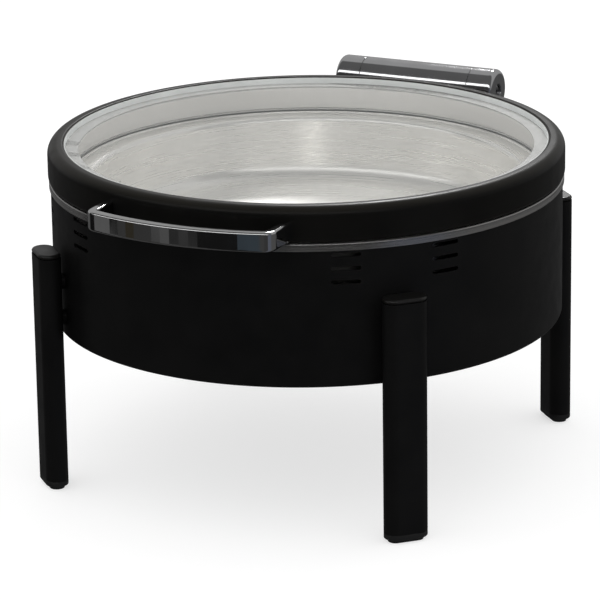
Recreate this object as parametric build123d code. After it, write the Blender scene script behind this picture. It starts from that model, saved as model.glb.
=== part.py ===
from build123d import *
import os
from math import cos, radians, sqrt

# Round buffet chafer: a vented stand on four legs, a water pan with a food pan, and a hinged glass-top lid.
# Everything is modelled about the vessel's upright axis, with the floor at height 0, the lid handle at -Y
# and the hinge at +Y. place() then moves the model so that its origin is the middle of its footprint.
# All sizes are in millimetres.

# --- fits and screw heads, which several pieces share ---
hole_clearance = 0.3          # screw to the hole it passes through, on the radius
plug_clearance = 0.1          # plug to the inside of a leg's tube
leg_screw_head = (5.5, 3.2, 2.3)      # head radius, head height, socket radius
handle_screw_head = (4.5, 3.0, 1.9)
knuckle_screw_head = (3.6, 2.0, 1.5)
saddle_screw_head = (3.4, 2.2, 1.4)
end_screw_head = (5.6, 3.4, 2.8)

# --- stand ---
skirt_radius = 222.0          # outside of the skirt
skirt_wall = 1.5
skirt_hem = 8.0               # width of the in-turned bottom edge
clear_height = 133.1          # floor to the skirt's bottom edge
skirt_height = 123.2
leg_width = 38.0              # flat-oval tube, wide side along the skirt
leg_depth = 20.0
leg_wall = 1.5
leg_gap = 4.1                 # skirt to leg, filled by the spacers
leg_overlap = 78.9            # how far a leg runs up beside the skirt
leg_directions = {"front_right": -45, "front_left": -135, "rear_left": 135, "rear_right": 45}
leg_cap_height = 4.0
leg_cap_chamfer = 2.0
leg_plug_length = 12.0        # part of a cap or foot that sits in the tube
leg_foot_height = 8.0
leg_foot_step = 3.5           # how far the sole stands in from the tube
leg_foot_sole = 3.0
leg_foot_chamfer = 1.5
leg_sole_chamfer = 0.8
leg_screw_radius = 3.0
leg_screw_insets = (18.0, 50.0)   # screw heights above the skirt's bottom edge
leg_screw_past_middle = 2.0       # thread beyond the middle of the tube
leg_spacer_radius = 7.0
leg_nut_wall = 1.4
leg_nut_collar = 1.0          # how far the rivet nut's set collar stands out from its body
leg_nut_collar_length = 2.0

# --- vents ---
vent_length = 25.0
vent_height = 3.4
vent_pitch = 11.6
vent_rows = 3
vent_drop = 4.0               # rim's bottom edge to the centre of the top vent
vent_offset = 11.3            # degrees from a leg to the middle of a group

# --- water pan and food pan ---
rim_sheet = 1.0
rim_drop = 6.4                # height of the bright rim band
rim_clearance = 0.3           # skirt to the inside of the rim band
pan_air_gap = 17.5            # skirt to the water pan's wall
pan_step = 2.0                # recess in the rim for the food pan's flange
pan_step_width = 4.0
water_depth = 90.0
water_corner = 12.0
food_sheet = 1.0
food_flange = 19.0
food_clearance = 0.8          # food pan's flange to the side of the recess
food_depth = 55.0
food_draft = 5.0              # how much the food pan's wall leans in over its height
food_top_bend = 4.0
food_corner = 14.0

# --- lid ---
lid_overhang = 0.7            # lid's outside beyond the rim band
lid_rest_gap = 0.7            # rim to the lid's bottom edge
lid_height = 30.5
lid_sheet = 2.0
lid_shoulder = 9.0
lid_face = 14.4               # width of the ring's top, outside edge to glass
lid_hem = 7.0                 # in-turned bottom edge
glass_thickness = 5.0
glass_recess = 1.0
glass_clearance = 0.4
seal_width = 12.5             # grey ring under the glass
seal_thickness = 1.0
liner_sheet = 1.0
liner_spread = 8.0            # how much wider the liner is at its bottom
liner_lap = 3.0               # liner's bottom flange over the frame's hem
lid_seal_height = 2.4
lid_seal_width = 11.0
lid_seal_edge = 0.8
lid_seal_tuck = 0.4           # how far the seal reaches above the lid's bottom edge
lid_seal_gap = 0.5            # seal to the edge of the frame's hem

# --- handle ---
handle_width = 171.0
handle_thickness = 9.0
handle_height = 17.0
handle_reach = 34.0           # lid's outside to the handle's outside
handle_top_drop = 11.7        # lid's top to the handle's top
handle_corner = 12.0
handle_edge = 2.4
handle_screw_radius = 2.5
handle_screw_grip = 14.0      # thread in the arm
handle_screw_seat = 0.8       # thinnest part of the wedge washer
handle_washer_radius = 5.5
handle_bow = 25.0             # degrees from the middle of the bow to where the arms' blank starts

# --- hinge ---
barrel_radius = 20.0
barrel_length = 106.4         # centre section
knuckle_length = 24.4
knuckle_gap = 0.5
knuckle_edge = 4.5
hinge_lid_gap = 0.5           # lid's outside to the barrel
hinge_plate_gap = 1.7         # hinge plate to the barrel
pin_radius = 5.0
pin_clearance = 0.05
barrel_bore = 13.0
bush_length = 14.0
end_screw_radius = 3.0
end_screw_length = 14.0
end_recess_radius = 7.0
end_recess_depth = 5.0
end_wall = 5.0                # knuckle's metal between the recess and the pin
spring_wire = 2.4
spring_turns = 14
plate_thickness = 3.0
plate_side_gap = 2.0          # plate to the edges of its notch
plate_back = 12.0             # how far the plate runs past the hinge axis
plate_corner = 8.0
foot_width = 18.0             # knuckle's foot, front to back
foot_inset = 1.0              # foot's end in from the plate's side
knuckle_screw_radius = 2.0
knuckle_screw_grip = 8.0      # thread in the foot
knuckle_screw_shift = 4.5     # screws in front of and behind the hinge axis
saddle_width = 92.0
saddle_height = 18.0
saddle_corner = 1.5
saddle_screw_radius = 2.0
saddle_screw_spacing = (60.0, 8.0)
saddle_screw_wall = 3.5       # metal between a saddle screw and the barrel's bore

# --- sizes that follow ---
skirt_top = clear_height + skirt_height
skirt_inside = skirt_radius - skirt_wall
leg_radius = skirt_radius + leg_gap + leg_depth / 2
leg_top = clear_height + leg_overlap
leg_tube_top = leg_top - leg_cap_height
leg_screw_heights = [clear_height + inset for inset in leg_screw_insets]
rim_top = skirt_top + rim_sheet
rim_bottom = rim_top - rim_drop
rim_radius = skirt_radius + rim_clearance + rim_sheet
water_radius = skirt_inside - pan_air_gap
water_floor = rim_top - water_depth
recess_radius = water_radius + pan_step_width - rim_sheet
food_radius = recess_radius - food_clearance
food_flange_top = rim_top - pan_step + food_sheet
food_inside = food_radius - food_flange
lid_radius = rim_radius + lid_overhang
lid_bottom = rim_top + lid_rest_gap
lid_top = lid_bottom + lid_height
glass_radius = lid_radius - lid_face - glass_clearance
glass_top = lid_top - glass_recess
glass_bottom = glass_top - glass_thickness
seal_bottom = glass_bottom - seal_thickness
seal_inside = lid_radius - lid_face - seal_width
liner_outside = lid_radius - lid_sheet - glass_clearance
liner_foot = seal_inside + liner_spread
liner_bottom = lid_bottom + lid_sheet
handle_top = lid_top - handle_top_drop
handle_middle = handle_top - handle_height / 2
handle_radius = lid_radius + handle_reach
arm_place = handle_width / 2 - handle_thickness / 2
plate_top = skirt_top
hinge_back = barrel_radius + hinge_lid_gap
hinge_y = lid_radius + hinge_back
hinge_z = plate_top + hinge_plate_gap + barrel_radius
saddle_middle = (liner_bottom + seal_bottom - liner_sheet) / 2
knuckle_start = barrel_length / 2 + knuckle_gap
hinge_half = knuckle_start + knuckle_length
plate_half = hinge_half - 2 * plate_side_gap
notch_half = plate_half + plate_side_gap
pin_half = hinge_half - end_recess_depth - end_wall

middle_shift = (handle_radius - hinge_y - barrel_radius) / 2


def turned(profile):
    """Body of revolution from a flat face drawn in (radius, height)."""
    return revolve(Plane.XZ * profile, Axis.Z)


def band(inner, outer, low, high):
    """Plain ring of rectangular section, or a disc when the inner radius is nothing."""
    section = Circle(outer)
    if inner:
        section -= Circle(inner)
    return Pos(0, 0, low) * extrude(section, high - low)


def sheet(points, bends, thickness):
    """Sheet profile along a bent middle line."""
    return trace(FilletPolyline(*points, radius=bends), line_width=thickness)


def rod(radius, start, end):
    """Round rod from one point to another."""
    start = Vector(*start)
    end = Vector(*end)
    return extrude(Plane(origin=start, z_dir=end - start) * Circle(radius), (end - start).length)


def clear_hole(radius, start, end):
    """Cutter for the hole that a screw passes through."""
    return rod(radius + hole_clearance, start, end)


def screw(radius, length, head_size):
    """Screw with its head's underside at height 0, its shank upwards and its hexagon socket below."""
    head_radius, head_height, socket = head_size
    head = band(0, head_radius, -head_height, 0)
    head = fillet(head.edges().filter_by(GeomType.CIRCLE).sort_by(Axis.Z)[0], 0.4 * head_height)
    body = head + band(0, radius, 0, length)
    return body - Pos(0, 0, -head_height) * extrude(RegularPolygon(socket, 6), 0.55 * head_height)


# --- stand ---
def hinge_notch(clearance_below):
    """Space in the skirt and in the rim band for the hinge plate."""
    low = plate_top - plate_thickness - clearance_below
    return Pos(0, skirt_radius, low) * Box(
        2 * notch_half, skirt_radius, skirt_height, align=(Align.CENTER, Align.CENTER, Align.MIN)
    )


def vent_cutters():
    """Slots in rows, one group on each side of each leg."""
    cutters = []
    for direction in leg_directions.values():
        for side in (-1, 1):
            for row in range(vent_rows):
                height = rim_bottom - vent_drop - row * vent_pitch
                plane = Plane(origin=(skirt_radius, 0, height), x_dir=(0, 1, 0), z_dir=(1, 0, 0))
                slot = extrude(plane * SlotOverall(vent_length, vent_height), 4 * skirt_wall, both=True)
                cutters.append(Rot(0, 0, direction + side * vent_offset) * slot)
    return cutters


def leg_screw_places():
    """Direction and height of every leg screw."""
    return [(direction, height) for direction in leg_directions.values() for height in leg_screw_heights]


def make_skirt():
    wall_middle = skirt_radius - skirt_wall / 2
    hem_middle = clear_height + skirt_wall / 2
    profile = sheet(
        ((skirt_radius - skirt_hem, hem_middle), (wall_middle, hem_middle), (wall_middle, skirt_top)),
        [2 * skirt_wall],
        skirt_wall,
    )
    skirt = turned(profile) - vent_cutters()
    for direction, height in leg_screw_places():
        hole = clear_hole(leg_screw_radius, (skirt_radius - 10, 0, height), (skirt_radius + 10, 0, height))
        skirt -= Rot(0, 0, direction) * hole
    return skirt - hinge_notch(plate_side_gap)


def leg_section(inset):
    """Flat-oval outline of a leg, drawn in from the tube's outside."""
    slot = SlotOverall(leg_width - 2 * inset, leg_depth - 2 * inset)
    return Pos(leg_radius, 0, 0) * Rot(0, 0, 90) * slot


def make_leg(direction):
    tube = extrude(leg_section(0) - leg_section(leg_wall), leg_tube_top - leg_foot_height)
    tube = Pos(0, 0, leg_foot_height) * tube
    nut_hole = leg_screw_radius + leg_nut_wall + plug_clearance
    for height in leg_screw_heights:
        tube -= rod(nut_hole, (leg_radius - leg_depth, 0, height), (leg_radius, 0, height))
    return Rot(0, 0, direction) * tube


def make_plug():
    """Part of a cap or foot that fits in the tube."""
    return extrude(leg_section(leg_wall + plug_clearance), leg_plug_length)


def make_leg_cap():
    """Domed plug in the top of a leg."""
    head = Pos(0, 0, leg_tube_top) * extrude(leg_section(0), leg_cap_height)
    head = chamfer(head.faces().sort_by(Axis.Z)[-1].edges(), leg_cap_chamfer)
    return head + Pos(0, 0, leg_tube_top - leg_plug_length) * make_plug()


def make_leg_foot():
    """Stepped plug with the sole that the leg stands on."""
    flange = Pos(0, 0, leg_foot_sole) * extrude(leg_section(0), leg_foot_height - leg_foot_sole)
    flange = chamfer(flange.faces().sort_by(Axis.Z)[0].edges(), leg_foot_chamfer)
    sole = extrude(leg_section(leg_foot_step), leg_foot_sole)
    sole = chamfer(sole.faces().sort_by(Axis.Z)[0].edges(), leg_sole_chamfer)
    return flange + sole + Pos(0, 0, leg_foot_height) * make_plug()


def make_leg_spacer(height):
    """Turned washer with one end shaped to the skirt."""
    start = (skirt_radius - 3, 0, height)
    end = (skirt_radius + leg_gap, 0, height)
    spacer = rod(leg_spacer_radius, start, end) - clear_hole(leg_screw_radius, start, end)
    return spacer - band(0, skirt_radius, height - 20, height + 20)


def make_leg_screw(height):
    """Button-head screw from inside the skirt into the leg's rivet nut."""
    seat = sqrt(skirt_inside**2 - leg_screw_head[0] ** 2)
    plane = Plane(origin=(seat, 0, height), x_dir=(0, 1, 0), z_dir=(1, 0, 0))
    length = leg_radius - seat + leg_screw_past_middle
    return plane * screw(leg_screw_radius, length, leg_screw_head)


def make_leg_nut(height):
    """Rivet nut set in the leg's inner wall."""
    start = leg_radius - leg_depth / 2
    collar_start = start + leg_wall
    body_radius = leg_screw_radius + leg_nut_wall
    body = rod(body_radius, (start, 0, height), (leg_radius, 0, height))
    collar_end = collar_start + leg_nut_collar_length
    collar = rod(body_radius + leg_nut_collar, (collar_start, 0, height), (collar_end, 0, height))
    bore = rod(leg_screw_radius, (start - 1, 0, height), (leg_radius + 1, 0, height))
    return body + collar - bore


# --- vessel ---
def make_water_pan():
    """Deep pan with the rim band that laps the skirt, and a recess for the food pan's flange."""
    half = rim_sheet / 2
    band_middle = rim_radius - half
    top_middle = rim_top - half
    step_middle = top_middle - pan_step
    recess_middle = recess_radius + half
    wall_middle = water_radius - half
    floor_middle = water_floor - half
    points = (
        (band_middle, rim_bottom),
        (band_middle, top_middle),
        (recess_middle, top_middle),
        (recess_middle, step_middle),
        (wall_middle, step_middle),
        (wall_middle, floor_middle),
        (0, floor_middle),
    )
    sharp = 0.75 * rim_sheet
    pan = turned(sheet(points, [sharp, sharp, sharp, 1.5 * rim_sheet, water_corner], rim_sheet))
    notch = hinge_notch(0) & band(skirt_radius - 0.2, 2 * rim_radius, 0, skirt_top)
    return pan - notch


def make_food_pan():
    """Shallow pan whose flange lies in the rim's recess, with a small bead round its edge."""
    half = food_sheet / 2
    flange_middle = food_flange_top - half
    floor_middle = food_flange_top - food_depth - half
    points = (
        (food_radius, flange_middle),
        (food_inside + half, flange_middle),
        (food_inside + half - food_draft, floor_middle),
        (0, floor_middle),
    )
    profile = sheet(points, [food_top_bend, food_corner], food_sheet)
    bead = Pos(food_radius - food_sheet, flange_middle + 0.6 * food_sheet) * Circle(food_sheet)
    bead &= Pos(food_radius, food_flange_top + food_sheet) * Rectangle(
        8 * food_sheet, 2 * food_sheet + half, align=(Align.CENTER, Align.CENTER)
    )
    return turned(profile + bead)


def make_hinge_plate():
    """Plate welded under the rim, which leaves through the skirt's notch and carries the knuckles."""
    back = hinge_y + plate_back
    front = recess_radius + rim_sheet
    low = plate_top - plate_thickness
    plate = Pos(0, 0, low) * Box(
        2 * plate_half, 2 * back, plate_thickness, align=(Align.CENTER, Align.CENTER, Align.MIN)
    )
    plate -= Pos(0, -back, 0) * Box(4 * plate_half, 2 * back, 4 * lid_top)
    plate = fillet(plate.edges().filter_by(Axis.Z).group_by(Axis.Y)[-1], plate_corner)
    plate -= band(0, front, low - 1, plate_top + 1)
    for x, y in knuckle_screw_places():
        plate -= clear_hole(knuckle_screw_radius, (x, y, low - 1), (x, y, plate_top + 1))
    return plate


def knuckle_screw_places():
    """Two screws under each knuckle."""
    middle = knuckle_start + knuckle_length / 2 - plate_side_gap
    shifts = (-knuckle_screw_shift, knuckle_screw_shift)
    return [(side * middle, hinge_y + shift) for side in (-1, 1) for shift in shifts]


def make_knuckle(side):
    """Fixed end section of the hinge: a closed, round-edged cylinder on a foot."""
    blank = rod(barrel_radius, (side * knuckle_start, hinge_y, hinge_z), (side * hinge_half, hinge_y, hinge_z))
    outer_edge = -1 if side > 0 else 0
    blank = fillet(blank.edges().filter_by(GeomType.CIRCLE).sort_by(Axis.X)[outer_edge], knuckle_edge)
    foot_end = plate_half - foot_inset
    foot = Pos(side * (knuckle_start + foot_end) / 2, hinge_y, (plate_top + hinge_z) / 2) * Box(
        foot_end - knuckle_start, foot_width, hinge_z - plate_top
    )
    blank += foot
    blank -= rod(pin_radius, (0, hinge_y, hinge_z), (side * (pin_half + 0.2), hinge_y, hinge_z))
    blank -= clear_hole(end_screw_radius, (0, hinge_y, hinge_z), (side * hinge_half, hinge_y, hinge_z))
    recess_start = side * (hinge_half - end_recess_depth)
    recess_end = side * (hinge_half + 1)
    blank -= rod(end_recess_radius, (recess_start, hinge_y, hinge_z), (recess_end, hinge_y, hinge_z))
    for x, y in knuckle_screw_places():
        blank -= rod(knuckle_screw_radius, (x, y, plate_top - 1), (x, y, plate_top + knuckle_screw_grip + 0.5))
    return blank


def make_knuckle_screws():
    """Screws from under the plate into the knuckles' feet."""
    low = plate_top - plate_thickness
    shape = screw(knuckle_screw_radius, plate_thickness + knuckle_screw_grip, knuckle_screw_head)
    return [Pos(x, y, low) * shape for x, y in knuckle_screw_places()]


def make_hinge_pin():
    """Shaft held by both knuckles, tapped at both ends."""
    pin = rod(pin_radius, (-pin_half, hinge_y, hinge_z), (pin_half, hinge_y, hinge_z))
    for side in (-1, 1):
        hole_end = side * (pin_half - end_screw_length)
        pin -= rod(end_screw_radius, (side * (pin_half + 1), hinge_y, hinge_z), (hole_end, hinge_y, hinge_z))
    return pin


def make_end_screws():
    """Socket screws that draw the knuckles onto the pin, sunk in the end faces."""
    length = end_wall + end_screw_length - 1
    screws = []
    for side in (-1, 1):
        seat = side * (hinge_half - end_recess_depth)
        plane = Plane(origin=(seat, hinge_y, hinge_z), x_dir=(0, 1, 0), z_dir=(-side, 0, 0))
        screws.append(plane * screw(end_screw_radius, length, end_screw_head))
    return screws


def make_spring():
    """Torsion spring wound round the pin between the bushes."""
    length = barrel_length - 2 * bush_length - 8
    coil_radius = (pin_radius + barrel_bore) / 2
    path = Helix(length / spring_turns, length, coil_radius)
    wire = sweep(Plane(origin=path @ 0, z_dir=path % 0) * Circle(spring_wire / 2), path=path)
    return Pos(-length / 2, hinge_y, hinge_z) * Rot(0, 90, 0) * wire


# --- lid ---
def make_lid_frame():
    """Black ring: outside wall, rounded shoulder, flat top, down-turned lip round the glass, in-turned hem."""
    half = lid_sheet / 2
    wall_middle = lid_radius - half
    top_middle = lid_top - half
    lip_middle = lid_radius - lid_face + half
    hem_middle = lid_bottom + half
    points = (
        (lid_radius - lid_hem, hem_middle),
        (wall_middle, hem_middle),
        (wall_middle, top_middle),
        (lip_middle, top_middle),
        (lip_middle, seal_bottom),
    )
    ring = turned(sheet(points, [1.2 * lid_sheet, lid_shoulder - half, 0.6 * lid_sheet], lid_sheet))
    for x in (-arm_place, arm_place):
        ring -= clear_hole(handle_screw_radius, (x, 0, handle_middle), (x, -2 * lid_radius, handle_middle))
    for x, z in saddle_screw_places():
        ring -= clear_hole(saddle_screw_radius, (x, 0, z), (x, 2 * lid_radius, z))
    return ring


def make_lid_liner():
    """Stainless inner wall with a top flange under the glass and a bottom flange on the frame's hem."""
    half = liner_sheet / 2
    points = (
        (lid_radius - lid_hem + liner_lap, liner_bottom + half),
        (liner_foot + half, liner_bottom + half),
        (seal_inside + half, seal_bottom - half),
        (liner_outside, seal_bottom - half),
    )
    return turned(sheet(points, [liner_sheet, liner_sheet], liner_sheet))


def make_lid_glass():
    """Flat tempered disc with ground edges."""
    disc = band(0, glass_radius, glass_bottom, glass_top)
    return chamfer(disc.edges().filter_by(GeomType.CIRCLE), 0.6)


def make_glass_seal():
    """Soft ring of L section: flat under the glass, and turned up round its edge to fill the gap to the frame."""
    under = band(seal_inside, glass_radius, seal_bottom, glass_bottom)
    return under + band(glass_radius, glass_radius + glass_clearance, seal_bottom, glass_top)


def make_lid_seal():
    """Soft ring under the liner's bottom flange that closes the gap to the rim."""
    outside = lid_radius - lid_hem - lid_seal_gap
    inside = outside - lid_seal_width
    ring = band(inside, outside, liner_bottom - lid_seal_height + lid_seal_tuck, liner_bottom)
    return fillet(ring.edges().filter_by(GeomType.CIRCLE).group_by(Axis.Z)[0], lid_seal_edge)


def make_handle():
    """Flat bar bent to a U: a bow that follows the lid, round corners and two straight arms."""
    inner_radius = handle_radius - handle_thickness
    inner_width = handle_width - 2 * handle_thickness
    depth = 3 * handle_reach
    start = -handle_radius * cos(radians(handle_bow)) + depth / 2
    outline = Circle(handle_radius) & Pos(0, start - handle_reach) * Rectangle(handle_width, depth)
    gap = Circle(inner_radius) & Pos(0, start - handle_reach) * Rectangle(inner_width, 2 * depth)
    outline = fillet(outline.vertices().group_by(Axis.Y)[0], handle_corner)
    gap = fillet(gap.vertices().group_by(Axis.Y)[0], handle_corner - handle_thickness + 1)
    bar = extrude(outline - gap, handle_height)
    edges = bar.faces().sort_by(Axis.Z)[-1].edges() + bar.faces().sort_by(Axis.Z)[0].edges()
    bar = fillet(edges, handle_edge)
    bar = Pos(0, 0, handle_top - handle_height) * bar
    bar -= band(0, lid_radius, handle_top - 2 * handle_height, handle_top + handle_height)
    for x in (-arm_place, arm_place):
        wall = -sqrt(lid_radius**2 - x**2)
        bar -= rod(handle_screw_radius, (x, 0, handle_middle), (x, wall - handle_screw_grip - 1, handle_middle))
    return bar


def handle_seat():
    """Distance from the axis to the flat that a handle screw's head bears on."""
    return sqrt((lid_radius - lid_sheet) ** 2 - (arm_place + handle_washer_radius) ** 2) - handle_screw_seat


def make_handle_screws():
    wall = sqrt(lid_radius**2 - arm_place**2)
    length = wall - handle_seat() + handle_screw_grip
    shape = screw(handle_screw_radius, length, handle_screw_head)
    screws = []
    for x in (-arm_place, arm_place):
        plane = Plane(origin=(x, -handle_seat(), handle_middle), x_dir=(1, 0, 0), z_dir=(0, -1, 0))
        screws.append(plane * shape)
    return screws


def make_handle_washers():
    """Wedge washers that square the screw heads to the curved wall."""
    inside = lid_radius - lid_sheet
    space = band(0, inside, handle_middle - 20, handle_middle + 20)
    washers = []
    for x in (-arm_place, arm_place):
        disc = rod(handle_washer_radius, (x, -handle_seat(), handle_middle), (x, -lid_radius, handle_middle))
        disc -= clear_hole(handle_screw_radius, (x, 0, handle_middle), (x, -lid_radius, handle_middle))
        washers.append(disc & space)
    return washers


def saddle_screw_places():
    """Four screws through the lid's wall into the saddle."""
    wide, high = saddle_screw_spacing
    return [(x, saddle_middle + z) for x in (-wide / 2, wide / 2) for z in (-high / 2, high / 2)]


def make_barrel():
    """Centre section of the hinge, one casting with the saddle that meets the lid's wall."""
    half = barrel_length / 2
    barrel = rod(barrel_radius, (-half, hinge_y, hinge_z), (half, hinge_y, hinge_z))
    depth = hinge_back + lid_radius - sqrt(lid_radius**2 - (saddle_width / 2) ** 2) + 2
    saddle = Pos(0, hinge_y - depth / 2, saddle_middle) * Box(saddle_width, depth, saddle_height)
    saddle = fillet(saddle.edges().filter_by(Axis.Z), saddle_corner)
    saddle -= band(0, lid_radius, 0, 2 * lid_top)
    barrel += saddle
    barrel -= rod(barrel_bore, (-half, hinge_y, hinge_z), (half, hinge_y, hinge_z))
    for x, z in saddle_screw_places():
        barrel -= rod(saddle_screw_radius, (x, 0, z), (x, hinge_y - barrel_bore - saddle_screw_wall + 1, z))
    return barrel


def make_saddle_screws():
    length = hinge_back - barrel_bore - saddle_screw_wall
    screws = []
    for x, z in saddle_screw_places():
        wall = sqrt(lid_radius**2 - x**2)
        seat = sqrt((lid_radius - lid_sheet) ** 2 - (abs(x) + saddle_screw_head[0]) ** 2) - 0.1
        plane = Plane(origin=(x, seat, z), x_dir=(1, 0, 0), z_dir=(0, 1, 0))
        screws.append(plane * screw(saddle_screw_radius, wall - seat + length, saddle_screw_head))
    return screws


def make_bushes():
    """Nylon sleeves pressed into the barrel's ends, running on the pin."""
    bushes = []
    for side in (-1, 1):
        outer = side * barrel_length / 2
        inner = side * (barrel_length / 2 - bush_length)
        sleeve = rod(barrel_bore, (inner, hinge_y, hinge_z), (outer, hinge_y, hinge_z))
        bore = rod(pin_radius + pin_clearance, (inner, hinge_y, hinge_z), (outer, hinge_y, hinge_z))
        bushes.append(sleeve - bore)
    return bushes


# --- output ---
def place(shape):
    """Move a piece, or a group of like pieces, to the model's origin."""
    pieces = shape if isinstance(shape, list) else [shape]
    solids = [solid for piece in pieces for solid in (Pos(0, middle_shift, 0) * piece).solids()]
    return solids[0] if len(solids) == 1 else Compound(children=solids)


def around(make_one):
    """One piece at each leg."""
    return [Rot(0, 0, direction) * make_one() for direction in leg_directions.values()]


def at_leg_screws(make_one):
    """One piece at each leg screw."""
    return [Rot(0, 0, direction) * make_one(height) for direction, height in leg_screw_places()]


nodes = {
    "stand_skirt": make_skirt(),
    "leg_caps": around(make_leg_cap),
    "leg_feet": around(make_leg_foot),
    "leg_spacers": at_leg_screws(make_leg_spacer),
    "leg_screws": at_leg_screws(make_leg_screw),
    "leg_nuts": at_leg_screws(make_leg_nut),
    "water_pan": make_water_pan(),
    "food_pan": make_food_pan(),
    "hinge_plate": make_hinge_plate(),
    "knuckle_left": make_knuckle(-1),
    "knuckle_right": make_knuckle(1),
    "knuckle_screws": make_knuckle_screws(),
    "hinge_pin": make_hinge_pin(),
    "hinge_end_screws": make_end_screws(),
    "torsion_spring": make_spring(),
    "lid_frame": make_lid_frame(),
    "lid_liner": make_lid_liner(),
    "lid_glass": make_lid_glass(),
    "glass_seal": make_glass_seal(),
    "lid_seal": make_lid_seal(),
    "lid_handle": make_handle(),
    "handle_screws": make_handle_screws(),
    "handle_washers": make_handle_washers(),
    "hinge_barrel": make_barrel(),
    "hinge_bushes": make_bushes(),
    "saddle_screws": make_saddle_screws(),
}
for name, direction in leg_directions.items():
    nodes["leg_" + name] = make_leg(direction)

os.makedirs("parts", exist_ok=True)
for name, shape in nodes.items():
    export_step(place(shape), "parts/" + name + ".step")
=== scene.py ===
from math import acos, atan2, cos, pi, radians, sin, sqrt, tan

import bmesh
import bpy
from mathutils import Matrix, Vector


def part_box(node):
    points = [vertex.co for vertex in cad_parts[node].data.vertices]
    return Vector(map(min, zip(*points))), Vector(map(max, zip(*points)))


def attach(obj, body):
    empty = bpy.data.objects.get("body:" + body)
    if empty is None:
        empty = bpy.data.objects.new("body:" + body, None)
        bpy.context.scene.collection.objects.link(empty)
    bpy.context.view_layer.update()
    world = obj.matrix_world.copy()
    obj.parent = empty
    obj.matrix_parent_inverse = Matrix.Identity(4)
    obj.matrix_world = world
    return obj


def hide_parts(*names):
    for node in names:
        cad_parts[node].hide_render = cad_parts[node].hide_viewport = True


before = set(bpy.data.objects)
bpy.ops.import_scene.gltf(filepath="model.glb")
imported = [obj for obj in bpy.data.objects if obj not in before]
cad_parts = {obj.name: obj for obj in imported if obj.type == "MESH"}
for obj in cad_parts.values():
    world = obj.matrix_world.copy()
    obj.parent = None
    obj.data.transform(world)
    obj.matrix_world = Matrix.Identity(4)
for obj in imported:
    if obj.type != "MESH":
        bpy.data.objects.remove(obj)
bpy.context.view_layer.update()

# ---------------------------------------------------------------------------------------------------------
# Camera. It looks at the vessel from the front right and from a little above, the way a guest sees it. Its
# place is worked out from the skirt's radius, and every round piece is centred on the vessel's upright axis.
scene = bpy.context.scene
scene.view_settings.view_transform = "Standard"
glass_low, glass_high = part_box("lid_glass")
axis_y = (glass_low.y + glass_high.y) / 2
skirt_low, skirt_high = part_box("stand_skirt")
skirt_radius = skirt_high.x

view_azimuth = radians(25.8)
view_height = radians(17.553)
view_roll = radians(0.848)
view_distance = 14.61 * skirt_radius
aim_height = 0.6283 * skirt_radius
aim_left = 0.033 * skirt_radius
view_right = Vector((cos(view_azimuth), sin(view_azimuth), 0))
view_back = Vector((
    sin(view_azimuth) * cos(view_height),
    -cos(view_azimuth) * cos(view_height),
    sin(view_height),
))
view_up = view_back.cross(view_right)
view_target = Vector((0, axis_y, aim_height)) - aim_left * view_right
camera_up = view_up * cos(view_roll) + view_right * sin(view_roll)
camera_right = camera_up.cross(view_back)

camera = bpy.data.objects.new("camera", bpy.data.cameras.new("camera"))
scene.collection.objects.link(camera)
camera.data.lens = 221.76
camera.data.sensor_width = 36
camera.data.clip_start = 0.1
camera.matrix_world = (
    Matrix.Translation(view_target + view_back * view_distance)
    @ Matrix((camera_right, camera_up, view_back)).transposed().to_4x4()
)
scene.camera = camera

# ---------------------------------------------------------------------------------------------------------
# Studio. A pale floor under an even white dome. Shiny pieces mirror a dimmer room instead: a grey wall behind
# the vessel, a dark ceiling with one strip light across it, and grey and dark screens standing in front. A
# far lamp behind the vessel adds the soft glints on the steel.
floor_half = 3.0
floor_grey = 0.45
floor_glow = 0.62
dome_light = 1.12
screen_top = 0.25
screen_fade = 0.10
lamp_width = 0.7
lamp_height = 1.2
lamp_power = 110
lamp_way = Vector((-0.25, 0.75, 0.61)).normalized()
lamp_distance = 5.0
lamp_aim = Vector((0, axis_y, 0.25))

# Light of the room by the angle from the back horizon, up over the vessel, to the front.
room_light = [
    (-120, 0.10), (-12, 0.10), (-4, 0.38), (79, 0.42), (83, 0.13),
    (128, 0.12), (136, 0.14), (138, 2.6), (146, 2.6), (148, 0.05),
]
# Light of the screens by the angle from straight in front, towards the right. Each holds up to the next one.
screen_light = [
    (-100, 0.008), (-64, 0.13), (-54.7, 0.008), (-51.5, 0.05), (-47.4, (0.035, 0.03, 0.02)),
    (-44.8, 0.045), (-40.2, 0.045), (-34.0, 0.10), (-29.0, 0.03), (-23.5, 0.05), (-18.8, 0.010),
    (-1.2, (0.045, 0.058, 0.07)), (9, 0.06), (30, 0.05), (60, (0.12, 0.13, 0.16)),
]


def shader_nodes(tree):
    """Returns a maker of nodes for a tree: inputs by name take a value or the socket that feeds them."""
    tree.nodes.clear()

    def make(kind, settings=None, **inputs):
        node = tree.nodes.new(kind)
        for key, value in (settings or {}).items():
            setattr(node, key, value)
        for key, value in inputs.items():
            socket = node.inputs[int(key[1:])] if key[0] == "_" else node.inputs[key.replace("_", " ")]
            if isinstance(value, bpy.types.NodeSocket):
                tree.links.new(value, socket)
            else:
                socket.default_value = value
        return node

    return make


def fill_ramp(node, stops, mode="LINEAR"):
    """Sets a colour ramp from (place, grey or colour) pairs."""
    ramp = node.color_ramp
    ramp.interpolation = mode
    while len(ramp.elements) < len(stops):
        ramp.elements.new(1.0)
    for element, (place, value) in zip(ramp.elements, stops):
        element.position = place
        element.color = (*value, 1) if isinstance(value, tuple) else (value, value, value, 1)


def turn(degrees):
    """Angle from -180 to 180 degrees as a place on a ramp from 0 to 1."""
    return degrees / 360 + 0.5


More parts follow.
